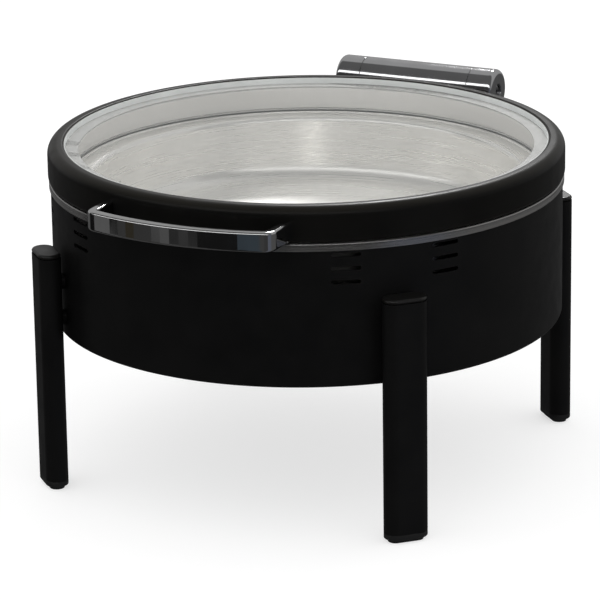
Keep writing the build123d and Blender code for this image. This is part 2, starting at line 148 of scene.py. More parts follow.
world = bpy.data.worlds.new("studio")
world.use_nodes = True
scene.world = world
make = shader_nodes(world.node_tree)
way = make("ShaderNodeSeparateXYZ", _0=make("ShaderNodeTexCoord").outputs["Generated"])
over = make("ShaderNodeMath", {"operation": "ARCTAN2"}, _0=way.outputs["Z"], _1=way.outputs["Y"])
over = make("ShaderNodeMapRange", _0=over.outputs[0], _1=-pi, _2=pi)
arch = make("ShaderNodeValToRGB", _0=over.outputs[0])
fill_ramp(arch, [(turn(angle), value) for angle, value in room_light])
forward = make("ShaderNodeMath", {"operation": "MULTIPLY"}, _0=way.outputs["Y"], _1=-1.0)
round_way = make("ShaderNodeMath", {"operation": "ARCTAN2"}, _0=way.outputs["X"], _1=forward.outputs[0])
round_way = make("ShaderNodeMapRange", _0=round_way.outputs[0], _1=-pi, _2=pi)
screens = make("ShaderNodeValToRGB", _0=round_way.outputs[0])
fill_ramp(screens, [(turn(angle), value) for angle, value in screen_light], "CONSTANT")
ahead = make("ShaderNodeMapRange", _0=forward.outputs[0], _1=0.0, _2=screen_fade / 2)
low = make("ShaderNodeMapRange", _0=way.outputs["Z"], _1=screen_top + screen_fade, _2=screen_top)
in_front = make("ShaderNodeMath", {"operation": "MULTIPLY"}, _0=ahead.outputs[0], _1=low.outputs[0])
room = make(
    "ShaderNodeMix", {"data_type": "RGBA"},
    _0=in_front.outputs[0], _6=arch.outputs[0], _7=screens.outputs[0],
)
rays = make("ShaderNodeLightPath")
dome = make("ShaderNodeBackground", _0=(1, 1, 1, 1), _1=dome_light)
mirrored = make("ShaderNodeBackground", _0=room.outputs[2], _1=1.0)
is_mirrored = rays.outputs["Is Glossy Ray"]
light = make("ShaderNodeMixShader", _0=is_mirrored, _1=dome.outputs[0], _2=mirrored.outputs[0])
make("ShaderNodeOutputWorld", _0=light.outputs[0])

lamp = bpy.data.objects.new("pan_lamp", bpy.data.lights.new("pan_lamp", "AREA"))
scene.collection.objects.link(lamp)
lamp.data.shape = "RECTANGLE"
lamp.data.size = lamp_width
lamp.data.size_y = lamp_height
lamp.data.energy = lamp_power
lamp.visible_diffuse = False
lamp.location = lamp_aim + lamp_distance * lamp_way
lamp.rotation_mode = "QUATERNION"
lamp.rotation_quaternion = lamp_way.to_track_quat("Z", "Y")

floor_mesh = bpy.data.meshes.new("floor")
floor_mesh.from_pydata(
    [(x, y, 0) for x, y in ((-1, -1), (1, -1), (1, 1), (-1, 1))], [], [(0, 1, 2, 3)]
)
floor_mesh.transform(Matrix.Scale(floor_half, 4))
floor = bpy.data.objects.new("floor", floor_mesh)
scene.collection.objects.link(floor)
floor.visible_glossy = False
pale = bpy.data.materials.new("pale_floor")
pale.use_nodes = True
make = shader_nodes(pale.node_tree)
paper = make("ShaderNodeBsdfDiffuse", Color=(floor_grey, floor_grey, floor_grey, 1))
glow = make("ShaderNodeEmission", Color=(1, 1, 1, 1), Strength=floor_glow)
lit = make("ShaderNodeAddShader", _0=paper.outputs[0], _1=glow.outputs[0])
make("ShaderNodeOutputMaterial", _0=lit.outputs[0])
floor_mesh.materials.append(pale)

# ---------------------------------------------------------------------------------------------------------
# Skirt. One strip of 1.5 mm steel rolled to a ring, its bottom edge turned in, slotted on each side of every
# leg so that the burner gets air, notched at the back for the hinge plate, and powder coated satin black.
skirt_wall = 0.0015
skirt_hem = 0.008
skirt_bend = 0.003
ring_steps = 240
leg_turns = 4
coat_blend = 0.002
first_leg = radians(-45)
vent_length = 0.025
vent_height = 0.0034
vent_pitch = 0.0116
vent_rows = 3
vent_drop = 0.004
vent_offset = radians(11.3)
vent_steps = 8
cut_margin = 0.01
sharp_angle = radians(32)
weld_distance = 1e-6
least_edge = 1e-7


def bent(points, radii, steps=9):
    """Open line in the plane with a round bend at each inner point."""
    line = [Vector(points[0])]
    for before, point, after, radius in zip(points, points[1:], points[2:], radii):
        point = Vector(point)
        back = (Vector(before) - point).normalized()
        onward = (Vector(after) - point).normalized()
        half = acos(back.dot(onward)) / 2
        centre = point + (back + onward).normalized() * radius / sin(half)
        start = point + back * radius / tan(half) - centre
        end = point + onward * radius / tan(half) - centre
        sweep = start.angle_signed(end)
        for step in range(steps + 1):
            line.append(centre + Matrix.Rotation(-sweep * step / steps, 2) @ start)
    line.append(Vector(points[-1]))
    return line


def sheet(points, radii, thickness):
    """Closed outline of a sheet of even thickness along a bent middle line."""
    line = bent(points, radii)
    sides = ([], [])
    for index, point in enumerate(line):
        before = line[max(index - 1, 0)]
        after = line[min(index + 1, len(line) - 1)]
        along = (after - before).normalized()
        across = Vector((-along.y, along.x)) * thickness / 2
        sides[0].append(point + across)
        sides[1].append(point - across)
    return sides[0] + sides[1][::-1]


def rounded(points, radius, steps=6):
    """Closed outline with every corner rounded."""
    points = list(points)
    middle = ((Vector(points[0]) + Vector(points[-1])) / 2)[:]
    return bent([middle, *points, middle], [radius] * len(points), steps)[:-1]


def finish_mesh(name, bm):
    """Closes, turns and shades a mesh, and returns its object."""
    bmesh.ops.remove_doubles(bm, verts=bm.verts, dist=weld_distance)
    bmesh.ops.recalc_face_normals(bm, faces=bm.faces)
    mesh = bpy.data.meshes.new(name)
    bm.to_mesh(mesh)
    bm.free()
    mesh.shade_smooth()
    mesh.set_sharp_from_angle(angle=sharp_angle)
    piece = bpy.data.objects.new(name, mesh)
    scene.collection.objects.link(piece)
    return piece


def turned(name, outline, steps=ring_steps, place=None):
    """Body of revolution about the vessel's axis, or about another axis given by its matrix."""
    place = place or Matrix.Translation((0, axis_y, 0))
    bm = bmesh.new()
    rings = []
    for step in range(steps):
        angle = 2 * pi * step / steps
        rings.append([
            bm.verts.new(place @ Vector((r * cos(angle), r * sin(angle), z))) for r, z in outline
        ])
    for ring, other in zip(rings, rings[1:] + rings[:1]):
        for index in range(len(outline)):
            corners = (ring[index - 1], ring[index], other[index], other[index - 1])
            bm.faces.new(corners)
    bmesh.ops.remove_doubles(bm, verts=bm.verts, dist=weld_distance)
    bmesh.ops.dissolve_degenerate(bm, edges=bm.edges, dist=least_edge)
    return finish_mesh(name, bm)


def pillar(name, outline, place, low, high, edge=0.0, edge_steps=3):
    """Straight body between two heights of a placed plane, with its end edges rounded."""
    bm = bmesh.new()
    rings = []
    levels = [(low, 0.0), (high, 0.0)]
    if edge:
        turns = [pi / 2 * step / edge_steps for step in range(edge_steps + 1)]
        levels = [(low + edge - edge * cos(a), edge - edge * sin(a)) for a in turns]
        levels += [(high - edge + edge * sin(a), edge - edge * cos(a)) for a in turns]
    middle = sum(outline, Vector((0, 0))) / len(outline)
    for height, inset in levels:
        ring = []
        for index, point in enumerate(outline):
            along = (outline[(index + 1) % len(outline)] - outline[index - 1]).normalized()
            inward = Vector((-along.y, along.x))
            if inward.dot(middle - point) < 0:
                inward.negate()
            x, y = point + inward * inset
            ring.append(bm.verts.new(place @ Vector((x, y, height))))
        rings.append(ring)
    for ring, other in zip(rings, rings[1:]):
        for index in range(len(outline)):
            bm.faces.new((ring[index - 1], ring[index], other[index], other[index - 1]))
    bm.faces.new(rings[0])
    bm.faces.new(rings[-1])
    return finish_mesh(name, bm)


def flat_oval(length, width, steps=14):
    """Outline of two half rounds joined by straights, the long way along the second axis."""
    radius = width / 2
    outline = []
    for side in (1, -1):
        for step in range(steps + 1):
            angle = pi * step / steps
            outline.append(Vector((
                side * radius * cos(angle), side * (length / 2 - radius + radius * sin(angle))
            )))
    return outline


def repeat_tree():
    """Geometry nodes: copies of a piece in turns about the vessel's axis and in rows downwards."""
    tree = bpy.data.node_groups.new("turns_and_rows", "GeometryNodeTree")
    face = tree.interface
    face.new_socket("Piece", in_out="INPUT", socket_type="NodeSocketGeometry")
    face.new_socket("Turns", in_out="INPUT", socket_type="NodeSocketInt")
    face.new_socket("Rows", in_out="INPUT", socket_type="NodeSocketInt")
    face.new_socket("Row pitch", in_out="INPUT", socket_type="NodeSocketFloat")
    face.new_socket("Axis", in_out="INPUT", socket_type="NodeSocketVector")
    face.new_socket("Finish", in_out="INPUT", socket_type="NodeSocketMaterial")
    face.new_socket("Pieces", in_out="OUTPUT", socket_type="NodeSocketGeometry")
    make = shader_nodes(tree)
    given = make("NodeGroupInput")
    turns = given.outputs["Turns"]
    rows = given.outputs["Rows"]
    total = make("ShaderNodeMath", {"operation": "MULTIPLY"}, _0=turns, _1=rows)
    points = make("GeometryNodePoints", Count=total.outputs[0])
    copies = make("GeometryNodeInstanceOnPoints", Points=points.outputs[0], Instance=given.outputs["Piece"])
    index = make("GeometryNodeInputIndex")
    row = make("ShaderNodeMath", {"operation": "MODULO"}, _0=index.outputs[0], _1=rows)
    around = make("ShaderNodeMath", {"operation": "DIVIDE"}, _0=index.outputs[0], _1=rows)
    around = make("ShaderNodeMath", {"operation": "FLOOR"}, _0=around.outputs[0])
    share = make("ShaderNodeMath", {"operation": "DIVIDE"}, _0=2 * pi, _1=turns)
    angle = make("ShaderNodeMath", {"operation": "MULTIPLY"}, _0=around.outputs[0], _1=share.outputs[0])
    drop = make("ShaderNodeMath", {"operation": "MULTIPLY"}, _0=row.outputs[0], _1=given.outputs["Row pitch"])
    drop = make("ShaderNodeMath", {"operation": "MULTIPLY"}, _0=drop.outputs[0], _1=-1.0)
    turned_by = make("ShaderNodeCombineXYZ", Z=angle.outputs[0])
    moved_by = make("ShaderNodeCombineXYZ", Z=drop.outputs[0])
    spun = make(
        "GeometryNodeRotateInstances", Instances=copies.outputs[0], Rotation=turned_by.outputs[0],
        Pivot_Point=given.outputs["Axis"], Local_Space=False,
    )
    lowered = make(
        "GeometryNodeTranslateInstances", Instances=spun.outputs[0], Translation=moved_by.outputs[0],
        Local_Space=False,
    )
    real = make("GeometryNodeRealizeInstances", Geometry=lowered.outputs[0])
    coated = make("GeometryNodeSetMaterial", Geometry=real.outputs[0], Material=given.outputs["Finish"])
    make("NodeGroupOutput", _0=coated.outputs[0])
    return tree


turns_and_rows = repeat_tree()


def as_mesh(piece):
    """Gives a piece the mesh that its modifiers make, and takes the modifiers off."""
    graph = bpy.context.evaluated_depsgraph_get()
    made = bpy.data.meshes.new_from_object(piece.evaluated_get(graph), depsgraph=graph)
    piece.modifiers.clear()
    made.name = piece.name
    piece.data = made
    return piece


def repeated(piece, finish, turns=leg_turns, rows=1, row_pitch=0.0):
    """The piece copied round the vessel, and downwards where it has rows."""
    maker = piece.modifiers.new("copies", "NODES")
    maker.node_group = turns_and_rows
    sockets = {item.name: item.identifier for item in turns_and_rows.interface.items_tree}
    values = {"Turns": turns, "Rows": rows, "Row pitch": row_pitch, "Axis": (0, axis_y, 0), "Finish": finish}
    for name, value in values.items():
        maker[sockets[name]] = value
    return as_mesh(piece)


def cut(piece, cutter, how="DIFFERENCE"):
    """Takes one closed piece out of another, or joins the two, and uses the second up."""
    tool = piece.modifiers.new("cut", "BOOLEAN")
    tool.operation = how
    tool.solver = "EXACT"
    tool.object = cutter
    as_mesh(piece)
    bpy.data.objects.remove(cutter)
    bm = bmesh.new()
    bm.from_mesh(piece.data)
    bmesh.ops.remove_doubles(bm, verts=bm.verts, dist=weld_distance)
    bmesh.ops.dissolve_degenerate(bm, edges=bm.edges, dist=least_edge)
    bm.to_mesh(piece.data)
    bm.free()
    piece.data.shade_smooth()
    piece.data.set_sharp_from_angle(angle=sharp_angle)
    return piece


def block(name, low, high):
    """Plain box between two corners, to be cut away from a piece or joined to it."""
    corners = ((low[0], low[1]), (high[0], low[1]), (high[0], high[1]), (low[0], high[1]))
    return pillar(name, [Vector(corner) for corner in corners], Matrix(), low[2], high[2])


def finish(name, metal=0.0, specular=0.5):
    """New material with its Principled shader, and the maker for its other nodes."""
    material = bpy.data.materials.new(name)
    material.use_nodes = True
    make = shader_nodes(material.node_tree)
    surface = make("ShaderNodeBsdfPrincipled", Metallic=metal, Specular_IOR_Level=specular)
    make("ShaderNodeOutputMaterial", _0=surface.outputs[0])
    place = make("ShaderNodeTexCoord").outputs["Object"]
    return material, surface, make, place


def feed(material, surface, socket, source):
    """Links a node's socket to an input of the surface."""
    material.node_tree.links.new(source, surface.inputs[socket])


def mottled(make, place, scale, low, high, detail=3.0):
    """Noise that wanders between two greys or colours."""
    noise = make("ShaderNodeTexNoise", Vector=place, Scale=scale, Detail=detail)
    ramp = make("ShaderNodeValToRGB", Fac=noise.outputs[0])
    fill_ramp(ramp, [(0.3, low), (0.7, high)])
    return ramp.outputs[0]


def grain(make, place, scale, distance, strength=1.0, detail=2.0):
    """Fine unevenness of a surface, as a normal."""
    noise = make("ShaderNodeTexNoise", Vector=place, Scale=scale, Detail=detail)
    bump = make("ShaderNodeBump", Strength=strength, Distance=distance, Height=noise.outputs[0])
    return bump.outputs[0]


def powder_coat(name, dark, light, rough, specular, highlight_above=None, highlight_colour=(0, 0, 0)):
    """Baked powder: near black, fine orange peel, uneven gloss, and above a given height a painted highlight.
    """
    material, surface, make, place = finish(name, specular=specular)
    coat = mottled(make, place, scale=26, low=dark, high=light)
    # Painted highlight: above the given height the coat's colour turns paler.
    if highlight_above:
        height = make("ShaderNodeSeparateXYZ", _0=place).outputs["Z"]
        upper = make("ShaderNodeMapRange", _0=height, _1=highlight_above - coat_blend, _2=highlight_above + coat_blend)
        coat = make(
            "ShaderNodeMix", {"data_type": "RGBA"}, _0=upper.outputs[0], _6=coat, _7=(*highlight_colour, 1)
        ).outputs[2]
    feed(material, surface, "Base Color", coat)
    feed(material, surface, "Roughness", mottled(make, place, scale=60, low=rough - 0.05, high=rough + 0.05))
    feed(material, surface, "Normal", grain(make, place, scale=900, distance=0.00003, strength=0.7))
    return material


def dress(piece, body, slot, *nodes, material=None):
    """Gives a piece its finish, even shading and body, and lets it stand for its CAD nodes."""
    if material:
        piece.data.materials.clear()
        piece.data.materials.append(material)
    even = piece.modifiers.new("even_shading", "WEIGHTED_NORMAL")
    even.keep_sharp = True
    as_mesh(piece)
    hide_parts(*nodes)
    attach(piece, body)
    return piece


black_coat = powder_coat(
    "black_powder_coat", (0.0020, 0.0020, 0.0021), (0.0031, 0.0030, 0.0030), rough=0.46, specular=0.17
)
rim_low, rim_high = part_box("water_pan")
rim_band = 0.0064
rim_bottom = rim_high.z - rim_band
plate_low, plate_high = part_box("hinge_plate")
notch_gap = 0.002
notch_front = axis_y + 0.75 * skirt_radius
notch_back = axis_y + 2 * skirt_radius

hem_z = skirt_low.z + skirt_wall / 2
wall_r = skirt_radius - skirt_wall / 2
skirt = turned("skirt", sheet(
    ((skirt_radius - skirt_hem, hem_z), (wall_r, hem_z), (wall_r, skirt_high.z)), [skirt_bend], skirt_wall
))
vent = flat_oval(vent_length, vent_height, vent_steps)
for side in (-1, 1):
    direction = first_leg + side * vent_offset
    place = (
        Matrix.Translation((0, axis_y, rim_bottom - vent_drop))
        @ Matrix.Rotation(direction, 4, "Z") @ Matrix.Rotation(pi / 2, 4, "Y")
    )
    slot = pillar("vent", vent, place, skirt_radius - cut_margin, skirt_radius + cut_margin)
    repeated(slot, None, rows=vent_rows, row_pitch=vent_pitch)
    cut(skirt, slot)
notch = block(
    "notch",
    (plate_low.x - notch_gap, notch_front, plate_low.z - notch_gap),
    (plate_high.x + notch_gap, notch_back, rim_high.z),
)
cut(skirt, notch)
dress(skirt, "stand", "black_coating", "stand_skirt", material=black_coat)

# ---------------------------------------------------------------------------------------------------------
# Legs. Four lengths of 38 by 20 mm flat-oval steel tube outside the skirt, coated like it, each held by two
# screws from inside through turned spacers.
leg_width = 0.038
leg_depth = 0.020
leg_wall = 0.0015
plug_inset = leg_wall + 0.0001
piece_lap = 0.0005
leg_low, leg_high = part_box("leg_front_right")
leg_middle = (leg_low + leg_high) / 2
leg_place = Matrix.Translation((leg_middle.x, leg_middle.y, 0)) @ Matrix.Rotation(first_leg, 4, "Z")


def wear(material, *nodes):
    """Puts a material on CAD nodes that are shown as they are."""
    for name in nodes:
        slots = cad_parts[name].data.materials
        slots.clear()
        slots.append(material)


leg = pillar("legs", flat_oval(leg_width, leg_depth), leg_place, leg_low.z, leg_high.z)
bore = pillar(
    "bore", flat_oval(leg_width - 2 * leg_wall, leg_depth - 2 * leg_wall), leg_place,
    leg_low.z - leg_wall, leg_high.z + leg_wall,
)
cut(leg, bore)
repeated(leg, black_coat)
dress(leg, "stand", "black_coating", "leg_front_right", "leg_front_left", "leg_rear_left", "leg_rear_right")
wear(black_coat, "leg_spacers")

# ---------------------------------------------------------------------------------------------------------
# Leg caps. Shallow domed caps, each with a plug under it that is pressed into the top of a tube. Their black
# coat is a little glossier than the tubes'.
cap_edge = 0.0022
cap_steps = 5
cap_low, cap_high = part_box("leg_caps")
cap = pillar(
    "leg_cap_tops", flat_oval(leg_width, leg_depth), leg_place, leg_high.z, cap_high.z, cap_edge, cap_steps
)
cap_coat = powder_coat(
    "black_cap_coat", (0.0034, 0.0032, 0.0030), (0.0048, 0.0045, 0.0041), rough=0.34, specular=0.42
)
repeated(cap, cap_coat)
plug = pillar(
    "leg_cap_plugs", flat_oval(leg_width - 2 * plug_inset, leg_depth - 2 * plug_inset), leg_place,
    cap_low.z, leg_high.z + piece_lap,
)
repeated(plug, black_coat)
dress(cap, "stand", "black_coating", "leg_caps")
dress(plug, "stand", "black_coating", "leg_caps")

# ---------------------------------------------------------------------------------------------------------
# Feet. Moulded black plastic plugs pressed into the bottoms of the tubes. Each has a rim as wide as the tube
# and a smaller sole that stands on the table.
foot_step = 0.0035
foot_sole = 0.003
foot_edge = 0.0012
sole_edge = 0.0004


def moulded_plastic(name, dark, light, rough):
    """Moulded plastic, rubber or ground glass: an even colour with a fine matt texture."""
    material, surface, make, place = finish(name, specular=0.35)
    feed(material, surface, "Base Color", mottled(make, place, scale=40, low=dark, high=light))
    feed(material, surface, "Roughness", mottled(make, place, scale=150, low=rough - 0.06, high=rough + 0.06))
    feed(material, surface, "Normal", grain(make, place, scale=2200, distance=0.00002, strength=0.6))
    return material


black_plastic = moulded_plastic(
    "black_moulded_plastic", (0.004, 0.004, 0.0042), (0.007, 0.007, 0.007), rough=0.6
)
foot_low, foot_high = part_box("leg_feet")
foot = pillar("feet", flat_oval(leg_width, leg_depth), leg_place, foot_sole, leg_low.z, foot_edge)
sole = pillar(
    "soles", flat_oval(leg_width - 2 * foot_step, leg_depth - 2 * foot_step), leg_place,
    foot_low.z, foot_sole + piece_lap, sole_edge,
)
foot_plug = pillar(
    "foot_plugs", flat_oval(leg_width - 2 * plug_inset, leg_depth - 2 * plug_inset), leg_place,
    leg_low.z - piece_lap, foot_high.z,
)
for piece in (foot, sole, foot_plug):
    repeated(piece, black_plastic)
    dress(piece, "stand", "black_plastic", "leg_feet")

# ---------------------------------------------------------------------------------------------------------
# Fasteners of the stand. Steel button-head screws that go out through the skirt and a spacer into each leg,
# and the rivet nuts, set in the tube's wall, that they turn in.


def worked_steel(name, dark, light, rough, lines=400.0, metal=1.0, across=(1, 1, 1)):
    """Drawn or ground steel: its fine marks are stretched to lines where the scales of the axes differ."""
    material, surface, make, place = finish(name, metal=metal)
    stretched = make("ShaderNodeMapping", Vector=place, Scale=across).outputs[0]
    feed(material, surface, "Base Color", mottled(make, stretched, lines / 4, dark, light))
    feed(material, surface, "Roughness", mottled(make, stretched, lines, rough - 0.07, rough + 0.09))
    feed(material, surface, "Normal", grain(make, stretched, lines * 4, distance=0.00002, strength=0.5))
    return material


screw_steel = worked_steel("screw_steel", (0.40, 0.40, 0.40), (0.58, 0.57, 0.56), rough=0.30)
wear(screw_steel, "leg_screws", "leg_nuts")

# ---------------------------------------------------------------------------------------------------------
# Water pan. Deep drawn stainless pan. Its rim laps over the skirt as the narrow bright band under the lid,
# and has a step that the food pan's flange lies in. The band is cut away at the back for the hinge plate.
rim_sheet = 0.001
rim_bend = 0.75 * rim_sheet
step_bend = 1.5 * rim_sheet
pan_step = 0.002
pan_step_width = 0.004
air_gap = 0.0175
band_play = 0.0002
turn_scale = 0.002
quarter_turn = 0.25
water_corner = 0.012
rim_radius = rim_high.x
water_radius = skirt_radius - skirt_wall - air_gap
recess_radius = water_radius + pan_step_width - rim_sheet


def spun_steel(name, dark, light, rough, metal, depth=0.00002, uneven=0.07, stretch=0.6, lines=2600.0):
    """Satin steel polished on a spindle: fine lines round the axis, and glints drawn out across them."""
    material, surface, make, place = finish(name, metal=metal)
    centred = make("ShaderNodeMapping", Vector=place, Location=(0, -axis_y, 0)).outputs[0]
    parts = make("ShaderNodeSeparateXYZ", _0=centred)
    flat = make("ShaderNodeCombineXYZ", X=parts.outputs["X"], Y=parts.outputs["Y"])
    radius = make("ShaderNodeVectorMath", {"operation": "LENGTH"}, _0=flat.outputs[0])
    angle = make("ShaderNodeMath", {"operation": "ARCTAN2"}, _0=parts.outputs["Y"], _1=parts.outputs["X"])
    slow = make("ShaderNodeMath", {"operation": "MULTIPLY"}, _0=angle.outputs[0], _1=turn_scale)
    spindle = make(
        "ShaderNodeCombineXYZ", X=radius.outputs["Value"], Y=parts.outputs["Z"], Z=slow.outputs[0]
    ).outputs[0]
    feed(material, surface, "Base Color", mottled(make, spindle, lines / 12, dark, light))
    feed(material, surface, "Roughness", mottled(make, spindle, lines / 3, rough - uneven, rough + uneven))
    feed(material, surface, "Normal", grain(make, spindle, lines, depth, strength=0.6))
    round_about = make(
        "ShaderNodeVectorMath", {"operation": "CROSS_PRODUCT"}, _0=(0, 0, 1), _1=flat.outputs[0]
    )
    feed(material, surface, "Tangent", round_about.outputs[0])
    surface.inputs["Anisotropic"].default_value = stretch
    surface.inputs["Anisotropic Rotation"].default_value = quarter_turn
    return material


half = rim_sheet / 2
rim_steel = spun_steel("satin_rim_steel", (0.36, 0.355, 0.35), (0.50, 0.49, 0.48), rough=0.30, metal=1.0)
water_pan = turned("water_pan_shell", sheet(
    (
        (rim_radius - half, rim_bottom),
        (rim_radius - half, rim_high.z - half),
        (recess_radius + half, rim_high.z - half),
        (recess_radius + half, rim_high.z - half - pan_step),
        (water_radius - half, rim_high.z - half - pan_step),
        (water_radius - half, rim_low.z + half),
        (0, rim_low.z + half),
    ),
    [rim_bend, rim_bend, rim_bend, step_bend, water_corner],
    rim_sheet,
))
band_notch = block(
    "band_notch",
    (plate_low.x - notch_gap, notch_front, rim_bottom - notch_gap),
    (plate_high.x + notch_gap, notch_back, skirt_high.z),
)
kept_radius = skirt_radius - band_play
inside_rim = turned("inside_rim", [
    Vector(p) for p in ((0, 0), (kept_radius, 0), (kept_radius, 2 * rim_high.z), (0, 2 * rim_high.z))
])
cut(band_notch, inside_rim)
cut(water_pan, band_notch)
dress(water_pan, "vessel", "brushed_rim", "water_pan", material=rim_steel)

# ---------------------------------------------------------------------------------------------------------
# Food pan. Shallow satin stainless pan with a large bend at the floor and a little draft. Its flange lies
# loose in the rim's step and ends in a small round bead.
food_sheet = 0.001
food_flange = 0.019
food_draft = 0.005
food_top_bend = 0.004
food_corner = 0.014
food_bead = 0.001
bead_steps = 16
food_low, food_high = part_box("food_pan")
food_radius = food_high.x
food_flange_top = rim_high.z - pan_step + food_sheet
food_inside = food_radius - food_flange

half = food_sheet / 2
pan_steel = spun_steel(
    "satin_pan_steel", (0.87, 0.86, 0.83), (0.90, 0.89, 0.86),
    rough=0.28, metal=0.70, depth=0.000002, uneven=0.01, stretch=0.8,
)
food_pan = turned("food_pan_shell", sheet(
    (
        (food_radius - food_bead, food_flange_top - half),
        (food_inside + half, food_flange_top - half),
        (food_inside + half - food_draft, food_low.z + half),
        (0, food_low.z + half),
    ),
    [food_top_bend, food_corner],
    food_sheet,
))
bead = turned("food_pan_bead", [
    Vector((food_radius - food_bead + food_bead * cos(a), food_high.z - food_bead + food_bead * sin(a)))
    for a in (2 * pi * step / bead_steps for step in range(bead_steps))
])
dress(food_pan, "vessel", "pan_steel", "food_pan", material=pan_steel)
dress(bead, "vessel", "pan_steel", "food_pan", material=pan_steel)

# ---------------------------------------------------------------------------------------------------------
# Hinge plate, pin, spring and screws. Brushed plate welded under the rim; a ground pin held by both knuckles,
# a wound torsion spring on it, and the stainless screws that hold them.
plate_steel = worked_steel(
    "brushed_plate_steel", (0.42, 0.42, 0.41), (0.55, 0.54, 0.53), rough=0.34, lines=500, across=(0.05, 1, 1)
)
pin_steel = worked_steel("ground_pin_steel", (0.42, 0.42, 0.42), (0.52, 0.52, 0.52), rough=0.22, lines=900)
wear(plate_steel, "hinge_plate")
wear(pin_steel, "hinge_pin", "torsion_spring")
wear(screw_steel, "knuckle_screws", "handle_screws", "handle_washers", "saddle_screws")

# ---------------------------------------------------------------------------------------------------------
# Knuckles. The two fixed ends of the hinge: cast, polished and chrome plated, round at the outer edge, with a
# sunk socket screw in the end face and a foot that stands on the plate.
knuckle_edge = 0.0045
inner_edge = 0.0003
well_radius = 0.007
well_depth = 0.005
knuckle_steps = 128
foot_width = 0.018
foot_inset = 0.001


def chrome(name, colour, rough):
    """Polished chrome plate with faint handling marks and a very slight waviness."""
    material, surface, make, place = finish(name, metal=1.0)
    darker = tuple(0.93 * part for part in colour)
    feed(material, surface, "Base Color", mottled(make, place, scale=30, low=darker, high=colour))
    feed(material, surface, "Roughness", mottled(make, place, scale=90, low=rough, high=rough + 0.05))
    feed(material, surface, "Normal", grain(make, place, scale=55, distance=0.00012, strength=0.12))
    return material


hinge_chrome = chrome("hinge_chrome_plate", (0.60, 0.60, 0.61), rough=0.07)
barrel_low, barrel_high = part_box("hinge_barrel")
pin_low, pin_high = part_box("hinge_pin")
hinge_centre = (pin_low + pin_high) / 2
barrel_radius = barrel_high.z - hinge_centre.z
for side, name in ((-1, "knuckle_left"), (1, "knuckle_right")):
    low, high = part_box(name)
    inner = min(abs(low.x), abs(high.x))
    outer = max(abs(low.x), abs(high.x))
    place = Matrix.Translation((0, hinge_centre.y, hinge_centre.z)) @ Matrix.Rotation(side * pi / 2, 4, "Y")
    middle = (inner + outer) / 2
    # The points beside and between the bends only carry straight stretches.
    outline = [Vector((0, inner))]
    outline += bent(
        ((0.5 * barrel_radius, inner), (barrel_radius, inner), (barrel_radius, middle)), [inner_edge]
    )
    outline += bent(
        ((barrel_radius, middle), (barrel_radius, outer), (1.2 * well_radius, outer)),
        [knuckle_edge], steps=16,
    )[1:]
    outline += bent(
        (
            (1.1 * well_radius, outer), (well_radius, outer),
            (well_radius, outer - well_depth), (0, outer - well_depth),
        ),
        [inner_edge, inner_edge], steps=3,
    )
    knuckle = turned(name + "_chrome", outline, knuckle_steps, place)
    ends = sorted((side * inner, side * (max(abs(plate_low.x), plate_high.x) - foot_inset)))
    foot = block(
        name + "_foot",
        (ends[0], hinge_centre.y - foot_width / 2, plate_high.z),
        (ends[1], hinge_centre.y + foot_width / 2, hinge_centre.z),
    )
    cut(knuckle, foot, "UNION")
    dress(knuckle, "vessel", "hinge_chrome", name, material=hinge_chrome)
end_chrome = chrome("end_screw_chrome", (0.52, 0.52, 0.53), rough=0.14)
wear(end_chrome, "hinge_end_screws")

# ---------------------------------------------------------------------------------------------------------
# Lid frame. A heavy pressed ring: upright wall, generous round shoulder, flat top face, a lip turned down
# round the glass and a hem turned in at the bottom. Its shoulder and top face carry a painted highlight.
lid_sheet = 0.002
hem_bend = 1.2 * lid_sheet
lip_bend = 0.6 * lid_sheet
lid_shoulder = 0.009
lid_face = 0.0144
lid_hem = 0.007
lid_low, lid_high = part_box("lid_frame")
# Above this height, on the shoulder and top face, the coat is painted paler as a highlight.
highlight_from = lid_high.z - 0.45 * lid_shoulder
lid_radius = lid_high.x
seal_low, seal_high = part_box("glass_seal")

half = lid_sheet / 2
lid_coat = powder_coat(
    "black_lid_coat", (0.0026, 0.0025, 0.0023), (0.0038, 0.0036, 0.0032), rough=0.34, specular=0.10,
    highlight_above=highlight_from, highlight_colour=(0.012, 0.011, 0.009),
)
lid = turned("lid_ring", sheet(
    (
        (lid_radius - lid_hem, lid_low.z + half),
        (lid_radius - half, lid_low.z + half),
        (lid_radius - half, lid_high.z - half),
        (lid_radius - lid_face + half, lid_high.z - half),
        (lid_radius - lid_face + half, seal_low.z),
    ),
    [hem_bend, lid_shoulder - half, lip_bend],
    lid_sheet,
))
dress(lid, "lid", "black_lid_coating", "lid_frame", material=lid_coat)

# ---------------------------------------------------------------------------------------------------------
# Lid liner. Satin stainless inner wall of the lid, spread towards the bottom, with a flange under the glass
# and another on the frame's hem.
liner_sheet = 0.001
liner_spread = 0.008
liner_lap = 0.003
seal_width = 0.0125
liner_low, liner_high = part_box("lid_liner")
seal_inside = lid_radius - lid_face - seal_width

half = liner_sheet / 2
liner_steel = spun_steel(
    "satin_liner_steel", (0.80, 0.79, 0.77), (0.83, 0.82, 0.80),
    rough=0.38, metal=0.5, depth=0.000003, uneven=0.02,
)
liner = turned("liner_shell", sheet(
    (
        (lid_radius - lid_hem + liner_lap, liner_low.z + half),
        (seal_inside + liner_spread + half, liner_low.z + half),
        (seal_inside + half, liner_high.z - half),
        (liner_high.x, liner_high.z - half),
    ),
    [liner_sheet, liner_sheet],
    liner_sheet,
))
dress(liner, "lid", "liner_steel", "lid_liner", material=liner_steel)

